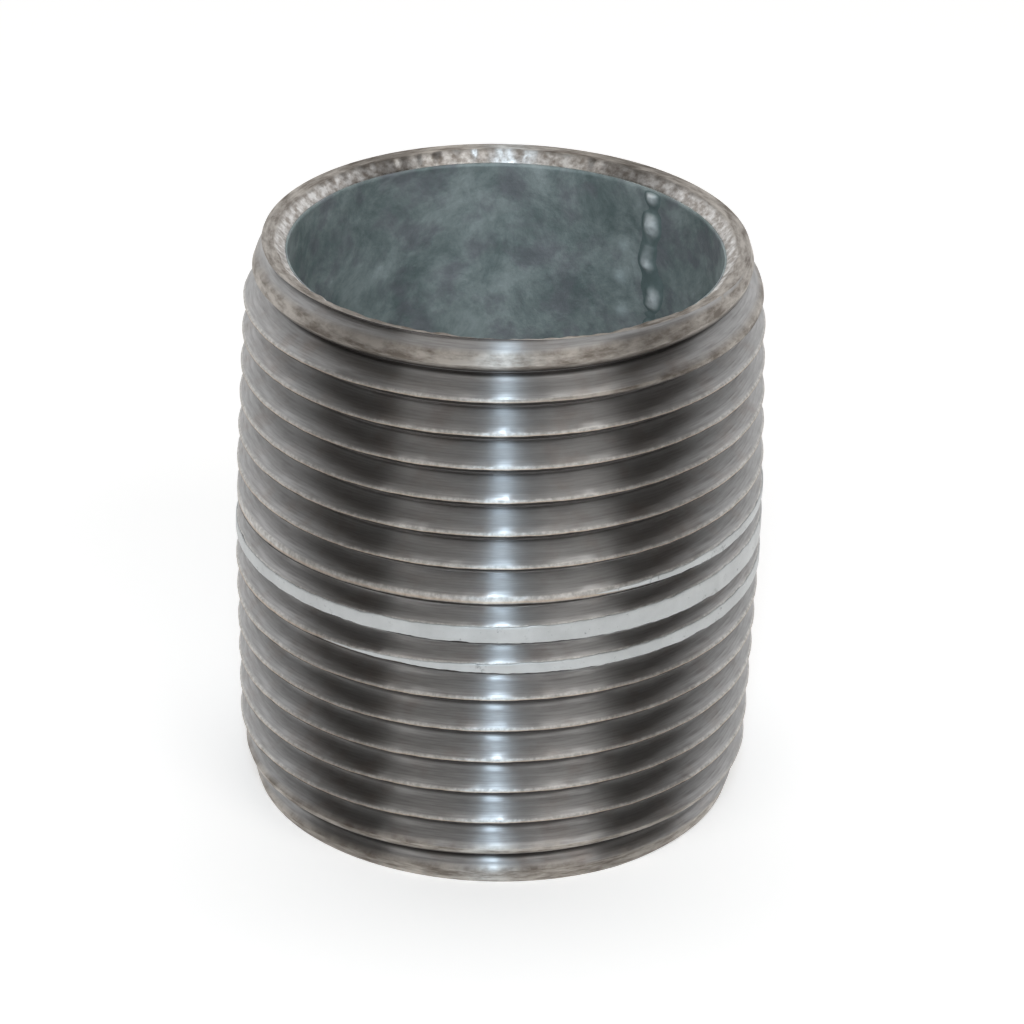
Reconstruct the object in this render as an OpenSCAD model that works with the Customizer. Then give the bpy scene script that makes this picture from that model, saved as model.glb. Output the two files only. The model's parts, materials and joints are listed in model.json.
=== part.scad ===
// Threaded pipe nipple: a short length of welded, galvanised steel pipe with a
// right-hand taper thread cut on each end until the two threads meet at mid length.
// Millimetres, +Z up. The origin is at the centre of the lower end face.

/* [Pipe] */
// Overall length
nipple_len = 37.2; // [30:0.2:120]
// Outside diameter over the zinc skin
pipe_d = 33.4; // [32:0.2:44]
// Wall thickness, zinc skins included
wall_t = 3.1; // [2.98:0.02:4.4]
// Thickness of each zinc skin
zinc_t = 0.12; // [0.08:0.01:0.16]

/* [Taper threads] */
// Turns in 25.4 mm
threads_per_inch = 11.5; // [10:0.5:14]
// The diameter grows by one part in this many, going in from each end
taper_ratio = 16; // [12:1:24]
// Width of the flat on a full crest
crest_w = 0.24; // [0.16:0.02:0.34]
// Width of the flat at the root of a groove
root_w = 0.1; // [0.06:0.02:0.2]
// Extra spacing where the upper and lower thread meet
meet_gap = 0.24; // [0:0.02:0.6]
// Direction in which the middle crest stands exactly at mid length
middle_angle = -40; // [-180:5:180]

/* [Blunt crests at mid length] */
// Width of the widest blunt crest
band_w = 1.5; // [0.8:0.05:1.7]
// Turns between the middle crest and the widest place
band_turn = 0.05; // [-0.3:0.05:0.3]
// Turns over which a blunt crest narrows to a full one
band_fade = 1.4; // [1.2:0.1:2]
// Turn at which the outer zinc skin starts
skin_from = -1.25; // [-1.3:0.05:-0.9]
// Turn at which the outer zinc skin ends
skin_to = 1.25; // [1:0.05:1.5]

/* [Ends] */
// How far the bevel lowers the first crest
bevel_drop = 1; // [0.6:0.05:1.2]
// Angle of the bevel to the axis
bevel_angle = 18; // [12:1:50]
// Depth to which each end of the bore is reamed at 45 degrees
ream = 0.7; // [0.2:0.05:0.75]

/* [Weld] */
// Direction of the weld bead inside the bore
weld_angle = 47; // [-180:1:180]
// Width of the bead
bead_w = 2; // [1.6:0.1:2.6]
// Depth of the bead into the wall, from the bore
bead_depth = 0.5; // [0.3:0.05:0.65]

/* [Hidden] */
$fn = 128;
inch = 25.4;
pitch = inch / threads_per_inch;
skin_r = pipe_d / 2;
bore_r = skin_r - wall_t;
steel_bore_r = bore_r + zinc_t;
// Sweep of the bead about the pipe's axis, in degrees
bead_sweep = bead_w / bore_r * 180 / PI;
taper_slope = 1 / (2 * taper_ratio);
// Both flanks stand at 60 degrees to the axis, so a ridge falls this much for each mm away from it
flank_slope = tan(60);
// Taper pipe thread rule for the pitch line at the end of the pipe
pitch_r_end = (pipe_d - (0.05 * pipe_d + 1.1 * inch) / threads_per_inch) / 2;
crest_r_end = pitch_r_end + (pitch / 2 - crest_w) / 2 * flank_slope;
end_r = crest_r_end - bevel_drop;
skin_fade = 0.06;
columns = 36;
rows_per_turn = 4;
// Past each end the surface folds onto the end face and creeps inwards by this share of the excess
fold = 0.05;
nudge = 0.001;
over = 1;

function clamp01(x) = min(1, max(0, x));
function outward(angle, r, z) = [r * cos(angle), r * sin(angle), z];
function column_angle(i) = middle_angle + 360 * i / columns;
function from_end(z) = min(z, nipple_len - z);

// u counts turns along the crest, from 0 where it crosses mid length
function ridge_z(u) = nipple_len / 2 + pitch * u + meet_gap * (clamp01((u + 1) / 2) - 0.5);
function ridge_w(u) = crest_w + (band_w - crest_w) * max(0, 1 - abs(u - band_turn) / band_fade);
function skin_cover(u) = clamp01(min(u - skin_from, skin_to - u) / skin_fade);
function crest_r(z) = min(skin_r, crest_r_end + from_end(z) * taper_slope);
function ridge_r(u) = crest_r(ridge_z(u)) - zinc_t * skin_cover(u);
function groove_z(u) = (ridge_z(u) + ridge_w(u) / 2 + ridge_z(u + 1) - ridge_w(u + 1) / 2) / 2;

// One ridge as a truncated vee, and the surface as the highest of the ridges near z
function vee_r(u, z) = ridge_r(u) - flank_slope * max(0, abs(z - ridge_z(u)) - ridge_w(u) / 2);
function thread_r(turn, z) =
    let (near = round((z - ridge_z(turn)) / pitch))
    max([for (k = [near - 1 : near + 1]) vee_r(turn + k, z)]);
function bevel_r(z) = end_r + from_end(z) * tan(bevel_angle);
function outer_r(turn, z) = min(thread_r(turn, z), bevel_r(z));

// Rows run along the helix: two crest edges and two root edges a turn, past both ends
first_ridge = -ceil((nipple_len / 2 + meet_gap) / pitch) - 1;
last_ridge = ceil((nipple_len / 2 + meet_gap) / pitch - 0.5);
rows = rows_per_turn * (last_ridge - first_ridge + 1);
function ridge_rows(u) = [
    ridge_z(u) - ridge_w(u) / 2,
    ridge_z(u) + ridge_w(u) / 2,
    groove_z(u) - root_w / 2,
    groove_z(u) + root_w / 2
];
function column_rows(turn) = [for (k = [first_ridge : last_ridge]) each ridge_rows(turn + k)];
function nearest(list, z) = min([for (x = list) abs(x - z)]);

// The row nearest to each end face is moved onto it, which gives the face a clean rim
function column_points(i) =
    let (turn = i / columns)
    let (list = column_rows(turn))
    let (top_near = nearest(list, nipple_len) + nudge)
    let (bottom_near = nearest(list, 0) + nudge)
    [for (z = list)
        let (at_top = abs(z - nipple_len) < top_near)
        let (at_bottom = abs(z) < bottom_near)
        let (past = at_top || at_bottom ? 0 : max(0, z - nipple_len, -z))
        let (level = at_top || z > nipple_len ? nipple_len : at_bottom || z < 0 ? 0 : z)
        outward(column_angle(i), outer_r(turn, level) - fold * past, level)
    ];

// Column "columns" is column 0 again, one turn up
function at(i, j) = i < columns ? i * rows + j : j + rows_per_turn;

function wall_faces() = [
    for (i = [0 : columns - 1])
        for (j = [0 : rows - 2 - (i == columns - 1 ? rows_per_turn : 0)])
            each [
                [at(i, j), at(i, j + 1), at(i + 1, j + 1)],
                [at(i, j), at(i + 1, j + 1), at(i + 1, j)]
            ]
];
function end_faces(bottom_centre, top_centre) = [
    for (i = [0 : columns - 1])
        let (next = (i + 1) % columns)
        each [
            [bottom_centre, at(i, 0), at(next, 0)],
            [top_centre, at(next, rows - 1), at(i, rows - 1)]
        ],
    for (k = [0 : rows_per_turn - 1])
        let (j = rows - 1 - rows_per_turn + k)
        each [
            [at(columns - 1, 0), at(0, k + 1), at(0, k)],
            [at(0, rows - 1), at(columns - 1, j), at(columns - 1, j + 1)]
        ]
];

module threaded_bar() {
    centres = [[0, 0, 0], [0, 0, nipple_len]];
    polyhedron(
        points = concat([for (i = [0 : columns - 1]) each column_points(i)], centres),
        faces = concat(wall_faces(), end_faces(columns * rows, columns * rows + 1))
    );
}

// A stretch of a straight ring, of the given sweep, as long as the bore between its reamed mouths
module ring_sector(inner_r, outer_r, start, sweep) {
    rotate([0, 0, start])
        rotate_extrude(angle = sweep)
            translate([inner_r, ream])
                square([outer_r - inner_r, nipple_len - 2 * ream]);
}

module bead_sector() {
    ring_sector(bore_r, bore_r + bead_depth, weld_angle - bead_sweep / 2, bead_sweep);
}

module reamed_bore() {
    mouth_r = steel_bore_r + ream;
    rotate_extrude()
        polygon([
            [0, -over],
            [mouth_r + over, -over],
            [steel_bore_r, ream],
            [steel_bore_r, nipple_len - ream],
            [mouth_r + over, nipple_len + over],
            [0, nipple_len + over]
        ]);
}

module steel_wall() {
    color("#66635f")
        difference() {
            threaded_bar();
            reamed_bore();
            bead_sector();
        }
}

// The coat stops at the two sides of the bead, which is bare where the bore was sized
module bore_zinc() {
    color("#747f80")
        ring_sector(bore_r, steel_bore_r, weld_angle + bead_sweep / 2, 360 - bead_sweep);
}

module weld_bead() {
    color("#9b9c98")
        bead_sector();
}

// The skin is a strip on the blunt crest: four points at each column, from its start to its end
module crest_zinc() {
    first = ceil(skin_from * columns + nudge);
    last = floor(skin_to * columns - nudge);
    count = last - first + 1;
    function strip_points(c) =
        let (u = c / columns)
        let (a = column_angle(c))
        let (low = ridge_z(u) - ridge_w(u) / 2)
        let (high = ridge_z(u) + ridge_w(u) / 2)
        let (outside = crest_r(ridge_z(u)))
        [
            outward(a, ridge_r(u), low),
            outward(a, ridge_r(u), high),
            outward(a, outside, high),
            outward(a, outside, low)
        ];
    sides = [
        for (c = [0 : count - 2])
            for (k = [0 : 3])
                let (a = 4 * c + k)
                let (b = 4 * c + (k + 1) % 4)
                each [[a, b + 4, b], [a, a + 4, b + 4]]
    ];
    ends = [[0, 1, 2], [0, 2, 3], [4 * count - 4, 4 * count - 2, 4 * count - 3],
        [4 * count - 4, 4 * count - 1, 4 * count - 2]];
    color("#a9adaf")
        polyhedron(points = [for (c = [first : last]) each strip_points(c)], faces = concat(sides, ends));
}

steel_wall();
bore_zinc();
weld_bead();
crest_zinc();
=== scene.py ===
import json
import math

import bmesh
import bpy
import numpy as np
from mathutils import Matrix, Quaternion, Vector


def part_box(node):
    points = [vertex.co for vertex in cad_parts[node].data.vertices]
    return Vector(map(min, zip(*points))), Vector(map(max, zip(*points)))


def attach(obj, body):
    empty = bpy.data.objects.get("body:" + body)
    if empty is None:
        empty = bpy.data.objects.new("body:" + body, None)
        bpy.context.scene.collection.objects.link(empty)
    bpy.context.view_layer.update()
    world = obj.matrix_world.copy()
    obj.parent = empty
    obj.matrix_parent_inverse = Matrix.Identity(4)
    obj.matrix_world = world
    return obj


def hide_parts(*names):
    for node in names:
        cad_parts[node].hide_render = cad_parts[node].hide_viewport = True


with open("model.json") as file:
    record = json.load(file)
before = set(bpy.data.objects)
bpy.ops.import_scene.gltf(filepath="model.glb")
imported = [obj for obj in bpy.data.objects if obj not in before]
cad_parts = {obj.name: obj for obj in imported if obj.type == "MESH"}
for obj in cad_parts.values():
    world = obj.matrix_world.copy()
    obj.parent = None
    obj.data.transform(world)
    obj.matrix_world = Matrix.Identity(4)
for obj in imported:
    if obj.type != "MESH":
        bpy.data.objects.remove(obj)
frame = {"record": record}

# A close nipple: a short galvanised pipe whose two taper threads meet at mid length.
# Lengths are in millimetres up to mesh_piece(), which turns them into metres. Places along the
# thread are in turns, from where its crest crosses mid length.

MM = 0.001
TURN = 2 * math.pi
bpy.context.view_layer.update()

# ---------------------------------------------------------------- sizes from the frame

wall_low, wall_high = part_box("steel_wall")
skin_low, skin_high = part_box("crest_zinc")
bead_low, bead_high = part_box("weld_bead")
lining_low, lining_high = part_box("bore_zinc")
MOUNTS = {mount["name"]: mount for mount in frame["record"]["mounts"]}

LENGTH = (wall_high.z - wall_low.z) / MM
SKIN_R = (skin_high.x - skin_low.x) / 2 / MM
BORE_R = MOUNTS["bore"]["dims"]["r_mm"]
STEEL_BORE_R = (lining_high.y - lining_low.y) / 2 / MM
ZINC_T = STEEL_BORE_R - BORE_R
REAM = lining_low.z / MM
BEAD_CENTRE = (bead_low + bead_high) / 2
BEAD_ANGLE = math.atan2(BEAD_CENTRE.y, BEAD_CENTRE.x)

# ---------------------------------------------------------------- taper thread

TURNS_PER_INCH = 11.5
PITCH = 25.4 / TURNS_PER_INCH
# The radius grows 1 in 32, which is 1 in 16 on the diameter
TAPER = 1 / 32
# A flank stands at 60 degrees to the pipe's axis: its drop for each millimetre along the axis
FLANK = math.tan(math.radians(60))
CREST_W = 0.22
ROOT_W = 0.1
# Taper pipe thread: at the end, the pitch diameter is the outside diameter D less
# (0.05 D + 27.94) / turns per inch
PITCH_R = SKIN_R - (0.05 * SKIN_R * 2 + 27.94) / TURNS_PER_INCH / 2
CREST_R = PITCH_R + (PITCH / 2 - CREST_W) / 2 * FLANK
THREAD_DEPTH = (PITCH - CREST_W - ROOT_W) / 2 * FLANK
BEVEL_DROP = 1.0
END_R = CREST_R - BEVEL_DROP
BEVEL = math.tan(math.radians(18))
# Over the two turns at mid length, where the threads meet, the crest climbs this much more than two pitches
MEET_GAP = 0.24
MIDDLE_ANGLE = math.radians(-40)

noise_source = np.random.default_rng(11)


def wander(x, shortest, longest, waves=14):
    """Smooth noise of about unit size along x: a sum of sines whose wavelengths run from shortest
    to longest."""
    lengths = np.geomspace(shortest, longest, waves)
    phases = noise_source.uniform(0, TURN, waves)
    weights = (lengths / longest) ** 0.35
    total = sum(w * np.sin(TURN * x / l + p) for w, l, p in zip(weights, lengths, phases))
    return total / math.sqrt((weights**2).sum() / 2)


def step(x, low, high):
    """Smooth rise from 0 at low to 1 at high."""
    t = np.clip((x - low) / (high - low), 0, 1)
    return t * t * (3 - 2 * t)


def ridge_z(u):
    """Height of the crest u turns from where it crosses mid length."""
    return LENGTH / 2 + PITCH * u + MEET_GAP * (np.clip((u + 1) / 2, 0, 1) - 0.5)


def ridge_w(u):
    """Width of the crest's flat: full crests are narrow, and those at mid length stay blunt."""
    stops = [-1.62, -1.24, -1.12, -0.98, -0.29, -0.12, 0.03, 0.48, 0.73, 0.93, 1.03, 1.38, 1.73]
    widths = [CREST_W, 0.34, 0.72, 0.92, 0.85, 1.16, 1.45, 1.2, 0.5, 0.5, 0.68, 0.5, CREST_W]
    return np.interp(u, stops, widths)


def crest_r(z):
    """Radius of the crests at height z: the end's radius and the taper, up to just under the skin."""
    return np.minimum(SKIN_R - 0.02, CREST_R + np.minimum(z, LENGTH - z) * TAPER)


def groove_z(u):
    """Height of the root above crest u: halfway from that crest's flat to the next one's."""
    return (ridge_z(u) + ridge_w(u) / 2 + ridge_z(u + 1) - ridge_w(u + 1) / 2) / 2


def thread_r(turn, z):
    """The highest of the nearby ridges, each a truncated vee with 60 degree flanks."""
    near = np.round((z - ridge_z(turn)) / PITCH)
    best = np.full(np.shape(z), -np.inf)
    for k in (-1, 0, 1):
        u = turn + near + k
        drop = FLANK * np.maximum(0, np.abs(z - ridge_z(u)) - ridge_w(u) / 2)
        best = np.maximum(best, crest_r(ridge_z(u)) - drop)
    return best


# ---------------------------------------------------------------- mesh tools

MERGE_DISTANCE = 2e-7


def mesh_piece(name, points, quads, material, values=None):
    """Makes a closed mesh from an array of points in mm and an array of quads, stores each named value
    of every point as an attribute, and merges what coincides."""
    mesh = bpy.data.meshes.new(name)
    mesh.vertices.add(len(points))
    mesh.vertices.foreach_set("co", (points * MM).astype(np.float32).ravel())
    mesh.loops.add(quads.size)
    mesh.loops.foreach_set("vertex_index", quads.astype(np.int32).ravel())
    mesh.polygons.add(len(quads))
    mesh.polygons.foreach_set("loop_start", np.arange(0, quads.size, 4, dtype=np.int32))
    mesh.update(calc_edges=True)
    for key, numbers in (values or {}).items():
        layer = mesh.attributes.new(key, "FLOAT", "POINT")
        layer.data.foreach_set("value", numbers.astype(np.float32).ravel())
    work = bmesh.new()
    work.from_mesh(mesh)
    bmesh.ops.remove_doubles(work, verts=work.verts, dist=MERGE_DISTANCE)
    bmesh.ops.dissolve_degenerate(work, edges=work.edges, dist=MERGE_DISTANCE)
    work.to_mesh(mesh)
    work.free()
    mesh.validate()
    mesh.polygons.foreach_set("use_smooth", np.ones(len(mesh.polygons), dtype=bool))
    mesh.materials.append(material)
    piece = bpy.data.objects.new(name, mesh)
    bpy.context.collection.objects.link(piece)
    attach(piece, "root")
    return piece


def tube_quads(columns, rows, closed_rows=False):
    """Quads of a grid that closes round its columns, and round its rows too if asked."""
    i = np.arange(columns)[:, None]
    j = np.arange(rows if closed_rows else rows - 1)[None, :]
    a = i * rows + j
    b = (i + 1) % columns * rows + j
    c = (i + 1) % columns * rows + (j + 1) % rows
    d = i * rows + (j + 1) % rows
    return np.stack([a, b, c, d], -1).reshape(-1, 4)


def rod_edges(sections, size):
    """The first and the second point of every edge of a rod's sections but the last. A section has size
    points and is closed round itself."""
    start = np.arange(sections - 1)[:, None] * size
    k = np.arange(size)
    return start + k, start + (k + 1) % size


def polar(r, angle, z):
    """Points from radius, angle and height."""
    return np.stack(np.broadcast_arrays(r * np.cos(angle), r * np.sin(angle), z), -1)


# ---------------------------------------------------------------- material tools


def linear(hex_colour):
    """Turns an sRGB hex colour into the linear values that the nodes expect."""
    parts = [int(hex_colour[k : k + 2], 16) / 255 for k in (1, 3, 5)]
    return [c / 12.92 if c <= 0.04045 else ((c + 0.055) / 1.055) ** 2.4 for c in parts] + [1.0]


def shade(value):
    """A hex string becomes its linear colour, a number a grey of that level, and a socket stays itself."""
    if isinstance(value, str):
        return linear(value)
    if isinstance(value, (int, float)):
        return (value, value, value, 1)
    return value


def node(tree, kind, inputs=None, output=0, stops=(), **settings):
    """Adds a node, sets its properties, and fills or links its inputs, given by name or by place. Stops
    are a colour ramp's (place, shade) pairs. Gives back one output, or the node if output is None."""
    made = tree.nodes.new("ShaderNode" + kind)
    for key, value in settings.items():
        setattr(made, key, value)
    for key, value in (inputs or {}).items():
        if isinstance(value, bpy.types.NodeSocket):
            tree.links.new(value, made.inputs[key])
        else:
            made.inputs[key].default_value = value
    if stops:
        elements = made.color_ramp.elements
        elements.remove(elements[1])
        for k, (place, value) in enumerate(stops):
            element = elements[0] if k == 0 else elements.new(place)
            element.position = place
            element.color = shade(value)
    return made if output is None else made.outputs[output]


def layered(tree, base, *layers):
    """Lays shades over a base. A layer is a value, the stops that turn it into how much of the shade
    shows, or None where the value is that already, and the shade."""
    colour = shade(base)
    for value, stops, top in layers:
        amount = node(tree, "ValToRGB", {0: value}, stops=stops) if stops else value
        # Inputs 6 and 7 are the lower and the upper colour
        colour = node(tree, "Mix", {0: amount, 6: colour, 7: shade(top)}, 2, data_type="RGBA")
    return colour


def per_mm(size):
    """The noise scale, on coordinates in metres, whose largest blobs are about size mm across."""
    return 1 / (size * MM)


def streaked(tree, where, share, height):
    """Coordinates that change round the axis at only a share of the true rate, so that noise on them is
    drawn out into streaks. Height is the third coordinate."""
    x, y, _ = node(tree, "SeparateXYZ", {0: where}, None).outputs
    slow_x = node(tree, "Math", {0: x, 1: share}, operation="MULTIPLY")
    slow_y = node(tree, "Math", {0: y, 1: share}, operation="MULTIPLY")
    return node(tree, "CombineXYZ", {0: slow_x, 1: slow_y, 2: height})


def new_material(name):
    """An empty material and its node tree."""
    made = bpy.data.materials.new(name)
    made.use_nodes = True
    made.node_tree.nodes.clear()
    return made, made.node_tree


def finish_surface(tree, colour, roughness, height, bump_mm, metallic=1.0, brushed=0.0):
    """Fills a Principled shader. Brushed metal spreads its highlights across marks that run round Z."""
    inputs = {
        "Base Color": colour,
        "Roughness": roughness,
        "Metallic": metallic,
        "Normal": node(tree, "Bump", {"Height": height, "Distance": bump_mm * MM, "Strength": 1.0}),
    }
    if brushed:
        inputs["Tangent"] = node(tree, "Tangent", direction_type="RADIAL", axis="Z")
        inputs["Anisotropic"] = brushed
        inputs["Anisotropic Rotation"] = 0.25
    node(tree, "OutputMaterial", {"Surface": node(tree, "BsdfPrincipled", inputs)}, None)


# ---------------------------------------------------------------- materials


def cut_steel():
    """Low-carbon steel as a thread die leaves it: smooth flanks with fine marks that run along the thread,
    pale torn crests, painted shade in the roots, a painted dark lower edge with a painted warm glint on
    each crest, and a dull sawn look on the end faces."""
    made, tree = new_material("die_cut_steel")
    where = node(tree, "TexCoord", output="Object")
    z = node(tree, "SeparateXYZ", {0: where}, 2)
    # How high a point is on its ridge, and whether it is on an end face or bevel, on a crest's lower
    # edge, or in a reamed mouth
    rise = node(tree, "Attribute", output="Fac", attribute_name="rise")
    face = node(tree, "Attribute", output="Fac", attribute_name="face")
    under = node(tree, "Attribute", output="Fac", attribute_name="under")
    mouth = node(tree, "Attribute", output="Fac", attribute_name="mouth")

    # The die's marks are 0.02 to 0.1 mm apart; they are drawn from 0.12 mm so that they show. A flank is
    # about 1.8 mm wide from root to crest
    up_flank = node(tree, "Math", {0: rise, 1: 1.8 * MM}, operation="MULTIPLY")
    marks_at = streaked(tree, where, 0.06, up_flank)
    marks = node(tree, "TexNoise", {"Vector": marks_at, "Scale": per_mm(0.12), "Detail": 3, "Roughness": 0.6})
    # The saw and the bevelling tool leave rings, each farther out or higher up than the last
    flat = node(tree, "VectorMath", {0: where, 1: (1, 1, 0)}, operation="MULTIPLY")
    radius = node(tree, "VectorMath", {0: flat}, 1, operation="LENGTH")
    out_and_up = node(tree, "Math", {0: z, 1: radius}, operation="ADD")
    rings_at = streaked(tree, where, 0.22, out_and_up)
    rings = node(tree, "TexNoise", {"Vector": rings_at, "Scale": per_mm(0.4), "Detail": 4, "Roughness": 0.65})
    broad = node(tree, "TexNoise", {"Vector": where, "Scale": per_mm(5), "Detail": 3, "Roughness": 0.55})
    blotch = node(tree, "TexNoise", {"Vector": where, "Scale": per_mm(2.6), "Detail": 4, "Roughness": 0.6})
    chips = node(tree, "TexNoise", {"Vector": where, "Scale": per_mm(0.5), "Detail": 3, "Roughness": 0.6})
    grain = node(tree, "TexNoise", {"Vector": where, "Scale": per_mm(0.3), "Detail": 4, "Roughness": 0.6})

    # Painted shade in the roots near the two ends. A painted warm glint just above a crest's painted dark
    # lower edge
    signed = node(tree, "Math", {0: z, 1: 2 / (LENGTH * MM), 2: -1.0}, operation="MULTIPLY_ADD")
    from_middle = node(tree, "Math", {0: signed}, operation="ABSOLUTE")
    near_end = node(tree, "ValToRGB", {0: from_middle}, stops=[(0.78, 0), (0.86, 1), (0.965, 1), (0.98, 0)])
    in_root = node(tree, "ValToRGB", {0: rise}, stops=[(0.08, 0.65), (0.17, 0)])
    painted_root_shade_near_ends = node(tree, "Math", {0: near_end, 1: in_root}, operation="MULTIPLY")
    at_edge = node(tree, "ValToRGB", {0: under}, stops=[(0.02, 0), (0.14, 1), (0.4, 1), (0.6, 0)])
    on_top = node(tree, "ValToRGB", {0: rise}, stops=[(0.9, 0), (0.97, 0.45)])
    painted_warm_glint = node(tree, "Math", {0: at_edge, 1: on_top}, operation="MULTIPLY")

    torn = layered(tree, "#b2b0ad", (grain, [(0.35, 0), (0.65, 1)], "#dad8d5"))
    sawn = layered(tree, "#857d75", (rings, [(0.36, 0), (0.62, 1)], "#c6c0b9"))
    reamed = layered(tree, "#a79f98", (chips, [(0.35, 0), (0.65, 1)], "#f2f0ee"))
    colour = layered(
        tree, "#a9a9a9",
        (broad, [(0.35, 0), (0.65, 1)], "#b2b1b1"),
        (blotch, [(0.52, 0), (0.74, 0.35)], "#8f7d70"),
        (marks, [(0.3, 0.4), (0.62, 0)], "#6f6b69"),
        # Painted shade darkens the root of every groove
        (rise, [(0, 0.75), (0.1, 0)], "#3a3431"),
        # Painted shade, darker still, in the roots near the two ends
        (painted_root_shade_near_ends, None, "#1e1916"),
        (rise, [(0.9, 0), (0.98, 1)], torn),
        # A painted warm glint just above each crest's lower edge
        (painted_warm_glint, None, "#c4a684"),
        # Painted shade darkens the lower edge of each crest
        (under, [(0.35, 0), (0.7, 0.95)], "#221c19"),
        (face, None, sawn),
        (mouth, None, reamed),
    )
    flank_rough = node(tree, "ValToRGB", {0: marks}, stops=[(0.3, 0.39), (0.7, 0.31)])
    rough = layered(
        tree, flank_rough,
        (rise, [(0.95, 0), (0.99, 1)], 0.48),
        (face, None, 0.5),
        (mouth, None, 0.4),
    )
    lines = node(tree, "Math", {0: marks, 1: 0.25}, operation="MULTIPLY")
    torn_amount = node(tree, "ValToRGB", {0: rise}, stops=[(0.9, 0.04), (0.98, 0.5)])
    chatter = node(tree, "Math", {0: grain, 1: torn_amount}, operation="MULTIPLY")
    ring_amount = node(tree, "Math", {0: face, 1: 0.8}, operation="MULTIPLY")
    grooves = node(tree, "Math", {0: rings, 1: ring_amount}, operation="MULTIPLY")
    on_thread = node(tree, "Math", {0: lines, 1: chatter}, operation="ADD")
    height = node(tree, "Math", {0: on_thread, 1: grooves}, operation="ADD")
    finish_surface(tree, colour, rough, height, 0.03, brushed=1.0)
    return made


def skin_zinc():
    """Hot-dip zinc that has weathered to a pale satin bloom, with a few scuffs and dull spots."""
    made, tree = new_material("satin_hot_dip_zinc")
    where = node(tree, "TexCoord", output="Object")
    cloud = node(tree, "TexNoise", {"Vector": where, "Scale": per_mm(3), "Detail": 4, "Roughness": 0.6})
    scuff = node(tree, "TexNoise", {"Vector": where, "Scale": per_mm(1.8), "Detail": 5, "Roughness": 0.75})
    speck = node(tree, "TexNoise", {"Vector": where, "Scale": per_mm(0.4), "Detail": 4, "Roughness": 0.7})
    colour = layered(
        tree, "#b3b5b5",
        (cloud, [(0.35, 0), (0.65, 1)], "#c7c9c9"),
        (scuff, [(0.6, 0), (0.68, 0.6)], "#6c6e6f"),
        (speck, [(0.28, 1), (0.36, 0)], "#7d8081"),
    )
    rough = node(tree, "ValToRGB", {0: cloud}, stops=[(0.3, 0.42), (0.7, 0.55)])
    height = node(tree, "Math", {0: speck, 1: cloud}, operation="ADD")
    finish_surface(tree, colour, rough, height, 0.02, metallic=0.65, brushed=0.6)
    return made


def bore_zinc():
    """Hot-dip zinc inside the pipe, dull and mottled, with a bluish cast: darker in a band on each side of
    the weld bead, paler on the drops of spatter."""
    made, tree = new_material("mottled_bore_zinc")
    where = node(tree, "TexCoord", output="Object")
    heat = node(tree, "Attribute", output="Fac", attribute_name="heat")
    pale = node(tree, "Attribute", output="Fac", attribute_name="pale")
    clouds = {"Vector": where, "Scale": per_mm(4), "Detail": 6, "Roughness": 0.7, "Distortion": 0.4}
    cloud = node(tree, "TexNoise", clouds)
    patch = node(tree, "TexNoise", {"Vector": where, "Scale": per_mm(2.6), "Detail": 4, "Roughness": 0.6})
    fine = node(tree, "TexNoise", {"Vector": where, "Scale": per_mm(0.8), "Detail": 5, "Roughness": 0.7})
    colour = layered(
        tree, "#818f8f",
        (cloud, [(0.36, 0), (0.64, 1)], "#bbc5c5"),
        (patch, [(0.48, 0), (0.62, 0.6)], "#88868f"),
        (heat, None, "#3c484c"),
        (pale, None, "#c6d2d4"),
        (fine, [(0.3, 0.3), (0.7, 0)], "#56625f"),
    )
    rough = node(tree, "ValToRGB", {0: cloud}, stops=[(0.3, 0.58), (0.7, 0.7)])
    rolls = node(tree, "Math", {0: cloud, 1: 2.0}, operation="MULTIPLY")
    height = node(tree, "Math", {0: fine, 1: rolls}, operation="ADD")
    finish_surface(tree, colour, rough, height, 0.05, metallic=0.5)
    return made


def bead_metal():
    """Weld metal under a thin coat of zinc: lumps with a painted highlight on top, so their feet look darker.
    """
    made, tree = new_material("zinc_washed_weld")
    where = node(tree, "TexCoord", output="Object")
    lump = node(tree, "Attribute", output="Fac", attribute_name="lump")
    fine = node(tree, "TexNoise", {"Vector": where, "Scale": per_mm(0.7), "Detail": 4, "Roughness": 0.6})
    colour = layered(
        tree, "#7d8c8c",
        # Painted highlight on the tops of the lumps
        (lump, [(0.15, 0), (0.6, 1)], "#f0f6f8"),
        (fine, [(0.3, 0.4), (0.6, 0)], "#5c6a6a"),
    )
    rough = node(tree, "ValToRGB", {0: lump}, stops=[(0.2, 0.6), (0.9, 0.36)])
    finish_surface(tree, colour, rough, fine, 0.03, metallic=0.4)
    return made


def floor_paper():
    """Matte studio paper, nearly white. A little light of its own keeps the shadow on it soft."""
    made, tree = new_material("studio_paper")
    surface = node(tree, "BsdfPrincipled", {
        "Base Color": linear("#f5f3f1"),
        "Roughness": 0.9,
        "Emission Color": linear("#ffffff"),
        "Emission Strength": 0.38,
        "Specular IOR Level": 0.1,
    })
    node(tree, "OutputMaterial", {"Surface": surface}, None)
    return made


# ---------------------------------------------------------------- pieces


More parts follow.
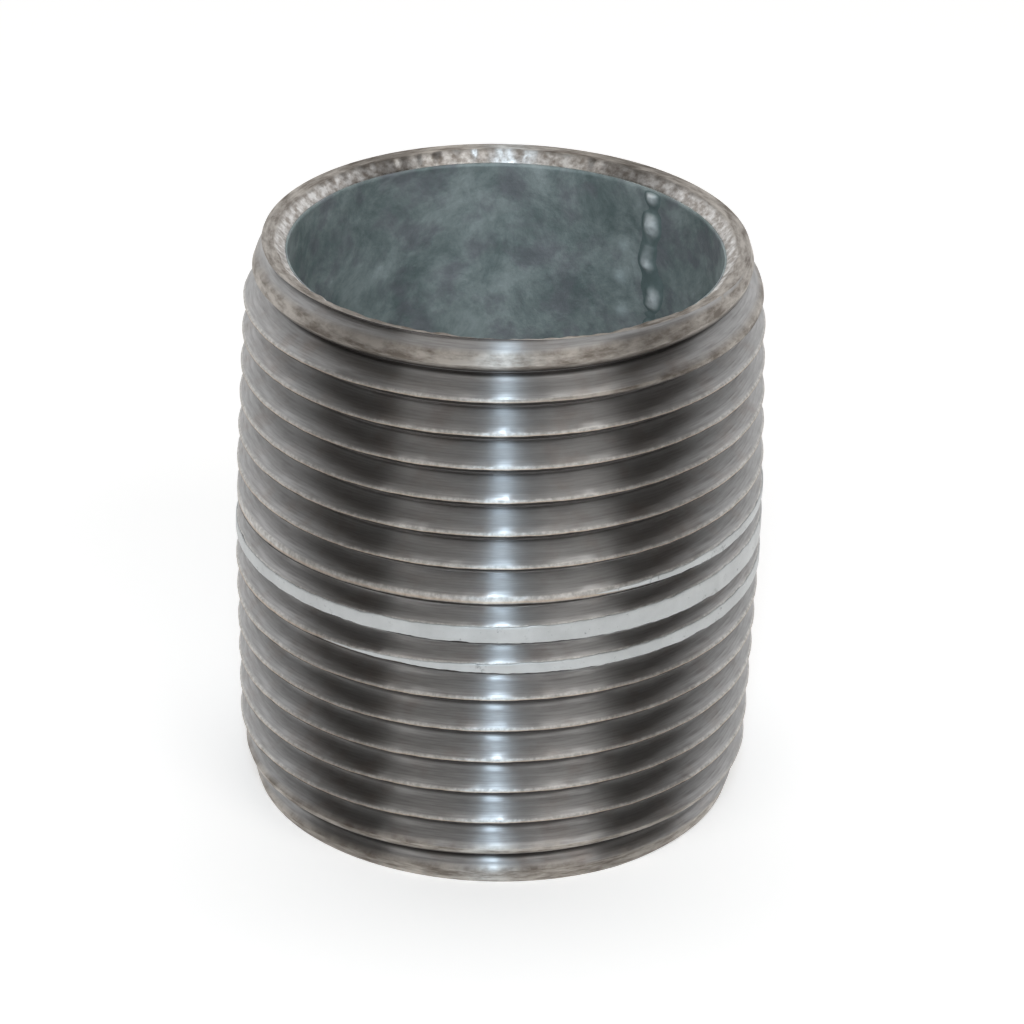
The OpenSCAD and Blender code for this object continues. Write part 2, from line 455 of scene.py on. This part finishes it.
def outer_surface(turn, angle):
    """The threaded outside. Twelve rows a turn follow the helix, so crests and roots are clean edges, and
    the last column joins column 0 one turn up. Rows past an end are laid on its rim, where merging joins
    them. Gives back the points, the quads and the values stored on the points."""
    columns, per_turn, edge = len(turn), 12, 0.05
    reach = math.ceil((LENGTH / 2 + MEET_GAP) / PITCH)
    u = turn[:, None] + np.arange(-reach - 1, reach + 1)
    arc = u * TURN * CREST_R
    ragged = 0.012 * wander(arc, 1.2, 9) + 0.004 * wander(arc, 0.6, 2)
    lift = 0.006 * wander(arc, 0.8, 7)
    top, half = ridge_z(u), ridge_w(u) / 2
    low, high = top - half + ragged * 0.6, top + half + ragged
    root = groove_z(u)
    next_low = ridge_z(u + 1) - ridge_w(u + 1) / 2
    root_low, root_high = root - ROOT_W / 2, root + ROOT_W / 2
    flank_step = (root_low - high - edge) / 3
    z = np.stack([
        low - edge, low, low + edge, (low + high) / 2, high - edge, high, high + edge,
        high + edge + flank_step, high + edge + 2 * flank_step, root_low, root_high,
        (root_high + next_low - edge) / 2,
    ], -1).reshape(columns, -1)

    # For each of the twelve rows: how far its edge is worn down in mm, how much it belongs to the crest's
    # lower edge, and how torn it is
    wear = np.array([0, 0.03, 0.006, 0, 0.012, 0.045, 0, 0, 0, 0, 0, 0])
    below = np.array([1, 1, 0.7, 0.15, 0, 0, 0, 0, 0, 0, 0, 1])
    torn = np.array([0.3, 1, 1, 0.6, 1, 1, 0.3, 0, 0, 0, 0, 0])

    z_in = np.clip(z, 0, LENGTH)
    inside = (z_in > 0.02) & (z_in < LENGTH - 0.02)
    height = thread_r(turn[:, None], z_in)
    # Under the zinc skin the crest is smooth and lies a little deeper
    under_skin = step(ridge_w(u), 0.4, 0.7) * step(u, -1.33, -1.23) * step(1.47 - u, 0, 0.1)
    covered = (under_skin[:, :, None] * torn).reshape(columns, -1)
    rough_edge = (lift[:, :, None] * torn - wear).reshape(columns, -1) * inside
    bevel = END_R + BEVEL * np.minimum(z_in, LENGTH - z_in)
    surface = height + rough_edge * (1 - covered) - ZINC_T * 0.6 * covered
    radius = np.minimum(np.minimum(surface, bevel), SKIN_R - 0.01)

    under = below * np.ones(top.shape + (1,))
    # The middle row of a blunt crest is too far from its lower edge to count
    under[:, :, 3] *= step(0.6 - ridge_w(u), 0, 0.2)
    values = {
        "rise": np.clip(1 - (crest_r(z_in) - height) / THREAD_DEPTH, 0, 1).ravel(),
        "face": step(height - bevel, 0.0, 0.1).ravel(),
        "under": (under.reshape(columns, -1) * inside).ravel(),
        "mouth": np.zeros(z.size),
    }

    rows = z.shape[1]
    i = np.arange(columns)[:, None]
    j = np.arange(rows - 1)[None, :]
    wraps = i == columns - 1
    right = np.where(wraps, j + per_turn, (i + 1) * rows + j)
    right_up = np.where(wraps, j + per_turn + 1, (i + 1) * rows + j + 1)
    here, here_up = i * rows + j, i * rows + j + 1
    fits = ~(wraps & (j + per_turn + 1 > rows - 1))
    quads = np.stack(np.broadcast_arrays(here, right, right_up, here_up), -1)[fits]
    return polar(radius, angle, z_in).reshape(-1, 3), quads, values


def inner_surface(turn, angle):
    """The rest of the wall: from the upper rim over the end face, down the reamed mouth, along the bore and
    out over the lower end, with chewed mouth edges and shallow dents in the faces."""
    columns = len(turn)
    rim_low = np.minimum(thread_r(turn, np.zeros(columns)), END_R)
    rim_high = np.minimum(thread_r(turn, np.full(columns, LENGTH)), END_R)
    mouth_r = STEEL_BORE_R + REAM
    # Shares of the way across a face, then of the way down a mouth
    share = np.array([0, 0.04, 0.2, 0.4, 0.6, 0.8, 0.96, 1])
    cone = np.array([0.12, 0.35, 0.6, 0.85, 1.0])
    arc = turn * TURN * mouth_r
    chew = 0.05 * wander(arc, 1.1, 12) + 0.035 * wander(arc, 0.7, 3)

    def end_section(rim, level, sign):
        """Radii and heights across a face and down its mouth. Sign is 1 at the upper end, -1 at the lower."""
        face_r = rim[:, None] + (mouth_r + chew[:, None] - rim[:, None]) * share
        dents = 0.02 * np.abs(wander(arc, 0.9, 5))[:, None] * np.sin(np.pi * share)
        face_z = level - sign * dents + 0 * face_r
        cone_r = mouth_r + chew[:, None] * (1 - cone) - REAM * cone
        cone_z = level - sign * REAM * cone + 0 * cone_r
        return np.concatenate([face_r, cone_r], 1), np.concatenate([face_z, cone_z], 1)

    upper_r, upper_z = end_section(rim_high, LENGTH, 1)
    lower_r, lower_z = end_section(rim_low, 0.0, -1)
    radius = np.concatenate([upper_r, lower_r[:, ::-1]], 1)
    z = np.concatenate([upper_z, lower_z[:, ::-1]], 1)
    reamed = np.concatenate([0 * share, np.minimum(1, cone / 0.3)])
    reamed = np.concatenate([reamed, reamed[::-1]])[None, :] * np.ones((columns, 1))
    values = {
        "rise": np.full(radius.size, 0.5),
        "face": np.ones(radius.size),
        "under": np.zeros(radius.size),
        "mouth": reamed.ravel(),
    }
    return polar(radius, angle, z).reshape(-1, 3), tube_quads(columns, radius.shape[1]), values


def threaded_wall():
    """The steel wall: its threaded outside, and its faces, mouths and bore, joined at the rims."""
    columns = 384
    turn = np.arange(columns) / columns
    angle = MIDDLE_ANGLE + TURN * turn[:, None]
    outside, outside_quads, outside_values = outer_surface(turn, angle)
    within, within_quads, within_values = inner_surface(turn, angle)
    points = np.concatenate([outside, within])
    quads = np.concatenate([outside_quads, within_quads + len(outside)])
    values = {key: np.concatenate([outside_values[key], within_values[key]]) for key in outside_values}
    return mesh_piece("threaded_wall", points, quads, cut_steel(), values)


def zinc_strip():
    """The zinc skin left on the blunt crest: a thin strip swept along the helix, with a rounded
    section of ten points and ragged edges. It starts and ends where the die has shaved it away."""
    material = skin_zinc()
    spans = [(-1.25, 0.6), (0.92, 1.24)]
    per_turn = 420
    section_x = np.array([-1, -1, -0.93, -0.7, -0.25, 0.25, 0.7, 0.93, 1, 1])
    section_y = np.array([-1, 0.35, 0.85, 1, 1, 1, 1, 0.85, 0.35, -1])
    size = len(section_x)
    points, quads = [], []
    offset = 0
    for start, end in spans:
        count = int((end - start) * per_turn)
        u = np.linspace(start, end, count)
        arc = u * TURN * SKIN_R
        taper = np.sqrt(np.clip(np.minimum(u - start, end - u) / 0.1, 0, 1))
        half = (ridge_w(u) / 2 - 0.015) * np.maximum(taper, 0.02)
        low = ridge_z(u) - half + 0.018 * wander(arc, 0.5, 5) * taper
        high = ridge_z(u) + half + 0.022 * wander(arc, 0.5, 5) * taper
        z = (low + high)[:, None] / 2 + (high - low)[:, None] / 2 * section_x
        base = crest_r(ridge_z(u)) - ZINC_T
        top = np.minimum(crest_r(ridge_z(u)) + 0.014 + 0.004 * wander(arc, 1.5, 9), SKIN_R)
        r = base[:, None] + (top - base)[:, None] * (section_y + 1) / 2
        angle = MIDDLE_ANGLE + TURN * u
        points.append(polar(r, angle[:, None], z).reshape(-1, 3))
        a, b = rod_edges(count, size)
        sides = np.stack([a, a + size, b + size, b], -1).reshape(-1, 4)
        k = np.arange(size // 2 - 1)
        cap = np.stack([k, k + 1, size - 2 - k, size - 1 - k], -1)
        quads += [sides + offset, cap + offset, cap[:, ::-1] + (count - 1) * size + offset]
        offset += count * size
    return mesh_piece("crest_skin", np.concatenate(points), np.concatenate(quads), material)


def around_from(angle, centre):
    """How far an angle lies from another round the bore, in mm, the short way and with its sign."""
    return ((angle - centre + np.pi) % TURN - np.pi) * BORE_R


def lining():
    """The zinc inside the bore: a thin shell whose inner face rolls gently and carries small blisters,
    with a column of spatter drops beside the bead. Blisters and drops are Gaussian bumps."""
    columns, rows = 360, 140
    angle = TURN * np.arange(columns)[:, None] / columns
    z = np.linspace(REAM, LENGTH - REAM, rows)[None, :]
    roll = np.zeros((columns, rows))
    # Waves round the bore, how fast each one turns along it in radians per mm, and its height in mm
    rolls = [(3, 0.11, 0.03), (5, -0.19, 0.022), (8, 0.31, 0.016), (13, 0.5, 0.012), (21, -0.8, 0.008)]
    for waves, rate, size in rolls:
        phase = noise_source.uniform(0, TURN, 2)
        roll += size * np.sin(waves * angle + rate * z * 2 + phase[0]) * np.cos(rate * 3 * z + phase[1])
    blister = np.zeros((columns, rows))
    for _ in range(70):
        a, h = noise_source.uniform(0, TURN), noise_source.uniform(REAM + 1, LENGTH - REAM - 1)
        width, tall = noise_source.uniform(0.25, 0.6), noise_source.uniform(0.03, 0.1)
        blister += tall * np.exp(-(around_from(angle, a) ** 2 + (z - h) ** 2) / width**2)
    fade = step(z, REAM, REAM + 0.6) * step(LENGTH - z, REAM, REAM + 0.6)
    beside = around_from(angle, BEAD_ANGLE)
    spatter = np.zeros((columns, rows))
    first_drop, drop_step, drop_size = 5.2, 2.3, 0.45
    for k in range(13):
        across = beside - 2.3 - 0.2 * math.sin(1.9 * k)
        along = LENGTH - z - first_drop - drop_step * k
        strength = 1.0 if k % 3 else 0.6
        spatter += strength * np.exp(-(across**2 + along**2) / drop_size**2)
    inner = BORE_R - (roll + blister + 0.2 * spatter) * fade
    # The outer face is a plain cylinder, so its two end rows are enough
    outer = np.full((columns, 2), STEEL_BORE_R)
    radius = np.concatenate([inner, outer], 1)
    points = polar(radius, angle, np.append(z, [LENGTH - REAM, REAM])).reshape(-1, 3)
    quads = tube_quads(columns, rows + 2, closed_rows=True)
    # A band on each side of the bead is darker
    heat = np.exp(-((beside - 1.4) ** 2) / 0.9) * 0.9 + np.exp(-((beside + 1.6) ** 2) / 1.2) * 0.7
    heat = np.broadcast_to(heat, radius.shape).ravel()
    pale = np.concatenate([spatter, 0 * outer], 1).ravel()
    return mesh_piece("bore_lining", points, quads[:, ::-1], bore_zinc(), {"heat": heat, "pale": pale})


def weld():
    """The weld bead: a low rounded ridge along the bore with soft lumps on it, sunk into the lining at
    its sides. The lumps are Gaussian bumps of two sizes in turn, a little off a straight line."""
    rows, across = 420, 25
    z = np.linspace(REAM + 0.02, LENGTH - REAM - 0.02, rows)[:, None]
    side = np.linspace(-1, 1, across)[None, :]
    width = 0.97 + 0.06 * wander(z, 2.0, 11)
    shift = 0.1 * wander(z, 3.0, 16)
    crown = (1 - side**2) ** 1.5 * (0.06 + 0.02 * wander(z, 1.5, 9))
    depth = LENGTH - z
    first_lump, lump_step = 3.1, 2.5
    for k in range(-1, 14):
        tall, size = (0.3, 0.66) if k % 2 == 0 else (0.22, 0.5)
        off_line = side * width - 0.3 * math.sin(2.1 * k)
        along = depth - first_lump - lump_step * k - 0.3 * math.sin(1.3 * k)
        crown = crown + tall * np.exp(-(off_line**2 + along**2) / size**2) * (1 - side**2) ** 0.7
    crown = crown + 0.05 * np.maximum(0, wander(z, 0.7, 3)) * (1 - side**2) ** 2
    # One more lump lies just inside the upper mouth
    near_mouth = (side * width) ** 2 + (depth - 1.2) ** 2
    crown = crown + 0.3 * np.exp(-near_mouth / 0.5**2) * (1 - side**2) ** 0.7
    crown = crown * step(z, REAM, REAM + 0.4) * step(depth, REAM, REAM + 0.4)
    top_r = BORE_R + 0.04 - crown
    back_r = BORE_R + 0.1 + 0 * top_r
    angle = BEAD_ANGLE + (shift + side * width) / BORE_R
    r = np.concatenate([top_r, back_r], 1)
    points = polar(r, np.concatenate([angle, angle[:, ::-1]], 1), z).reshape(-1, 3)
    size = 2 * across
    a, b = rod_edges(rows, size)
    sides = np.stack([a, b, b + size, a + size], -1).reshape(-1, 4)
    n = np.arange(across - 1)
    cap = np.stack([n, size - 1 - n, size - 2 - n, n + 1], -1)
    quads = np.concatenate([sides, cap, cap[:, ::-1] + (rows - 1) * size])
    lump = np.concatenate([crown, 0 * crown], 1).ravel() / 0.5
    return mesh_piece("weld_bead_crown", points, quads, bead_metal(), {"lump": lump})


wall = threaded_wall()
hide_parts("steel_wall")
skin = zinc_strip()
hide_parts("crest_zinc")
liner = lining()
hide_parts("bore_zinc")
bead = weld()
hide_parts("weld_bead")

# ---------------------------------------------------------------- floor, lights, camera

FLOOR_HALF = 3.0
floor_mesh = bpy.data.meshes.new("floor")
floor_mesh.from_pydata([(-FLOOR_HALF, -FLOOR_HALF, 0), (FLOOR_HALF, -FLOOR_HALF, 0),
                        (FLOOR_HALF, FLOOR_HALF, 0), (-FLOOR_HALF, FLOOR_HALF, 0)], [], [(0, 1, 2, 3)])
floor_mesh.materials.append(floor_paper())
floor = bpy.data.objects.new("floor", floor_mesh)
bpy.context.collection.objects.link(floor)

CENTRE = Vector((0, 0, LENGTH / 2 * MM))
COOL_WHITE = (0.66, 0.84, 1.0)
WARM_WHITE = (1.0, 0.985, 0.96)


def front_lamp(name, elevation, azimuth, distance, width, depth, power, colour):
    """A rectangular lamp on the camera's side that faces the middle of the part, with its width level along
    X. Azimuth is in degrees to the right of the plane through the part's axis."""
    up, across = math.radians(elevation), math.radians(azimuth)
    level = math.cos(up)
    toward = Vector((level * math.sin(across), -level * math.cos(across), math.sin(up)))
    place = CENTRE + toward * distance
    data = bpy.data.lights.new(name, "AREA")
    data.shape = "RECTANGLE"
    data.size, data.size_y = width, depth
    data.energy, data.color = power, colour
    light = bpy.data.objects.new(name, data)
    away = (place - CENTRE).normalized()
    sideways = (Vector((1, 0, 0)) - away * away.x).normalized()
    turned = Matrix((sideways, away.cross(sideways), away)).transposed()
    light.matrix_world = Matrix.Translation(place) @ turned.to_4x4()
    bpy.context.collection.objects.link(light)


# A tall narrow lamp draws the bright line down the front of the thread
front_lamp("front_strip", 35, -0.5, 0.6, 0.045, 0.35, 0.92, COOL_WHITE)
# A wide weak lamp lifts the front of the thread and the far wall of the bore
front_lamp("front_soft", 42, -16, 0.67, 0.8, 0.25, 1.5, WARM_WHITE)
# A smaller one farther to the right draws the paler band beside the line
front_lamp("side_soft", 40, 38, 0.6, 0.26, 0.3, 0.65, WARM_WHITE)

# A white backdrop behind the part and dimmer surroundings on the camera's side
world = bpy.data.worlds.new("surroundings")
bpy.context.scene.world = world
world.use_nodes = True
sky = world.node_tree
sky.nodes.clear()
direction = node(sky, "TexCoord", output="Generated")
toward_back = node(sky, "SeparateXYZ", {0: direction}, 1)
backness = node(sky, "Math", {0: toward_back, 1: 0.5, 2: 0.5}, operation="MULTIPLY_ADD")
glow = node(sky, "ValToRGB", {0: backness},
            stops=[(0.40, "#47423d"), (0.50, "#59534d"), (0.66, "#fafafa"), (1.0, "#ffffff")])
background = node(sky, "Background", {"Color": glow, "Strength": 1.0})
node(sky, "OutputWorld", {"Surface": background}, None)

scene = bpy.context.scene
scene.view_settings.view_transform = "Standard"
scene.view_settings.look = "None"

ELEVATION = math.radians(26.9)
DISTANCE = 0.3568
FOCAL = 197.2
ROLL = math.radians(1.7)
# The camera's place is set from LOOK, and it aims a little to the right, which moves the part left
LOOK = CENTRE + Vector((0, 0, -0.0003))
AIM = LOOK + Vector((0.00085, 0, 0))
camera_data = bpy.data.cameras.new("camera")
camera_data.lens = FOCAL
camera_data.sensor_width = 36
camera_data.clip_start = 0.01
camera = bpy.data.objects.new("camera", camera_data)
camera.location = LOOK + Vector((0, -math.cos(ELEVATION), math.sin(ELEVATION))) * DISTANCE
look = (AIM - camera.location).to_track_quat("-Z", "Y")
camera.rotation_mode = "QUATERNION"
camera.rotation_quaternion = look @ Quaternion((0, 0, 1), ROLL)
bpy.context.collection.objects.link(camera)
scene.camera = camera
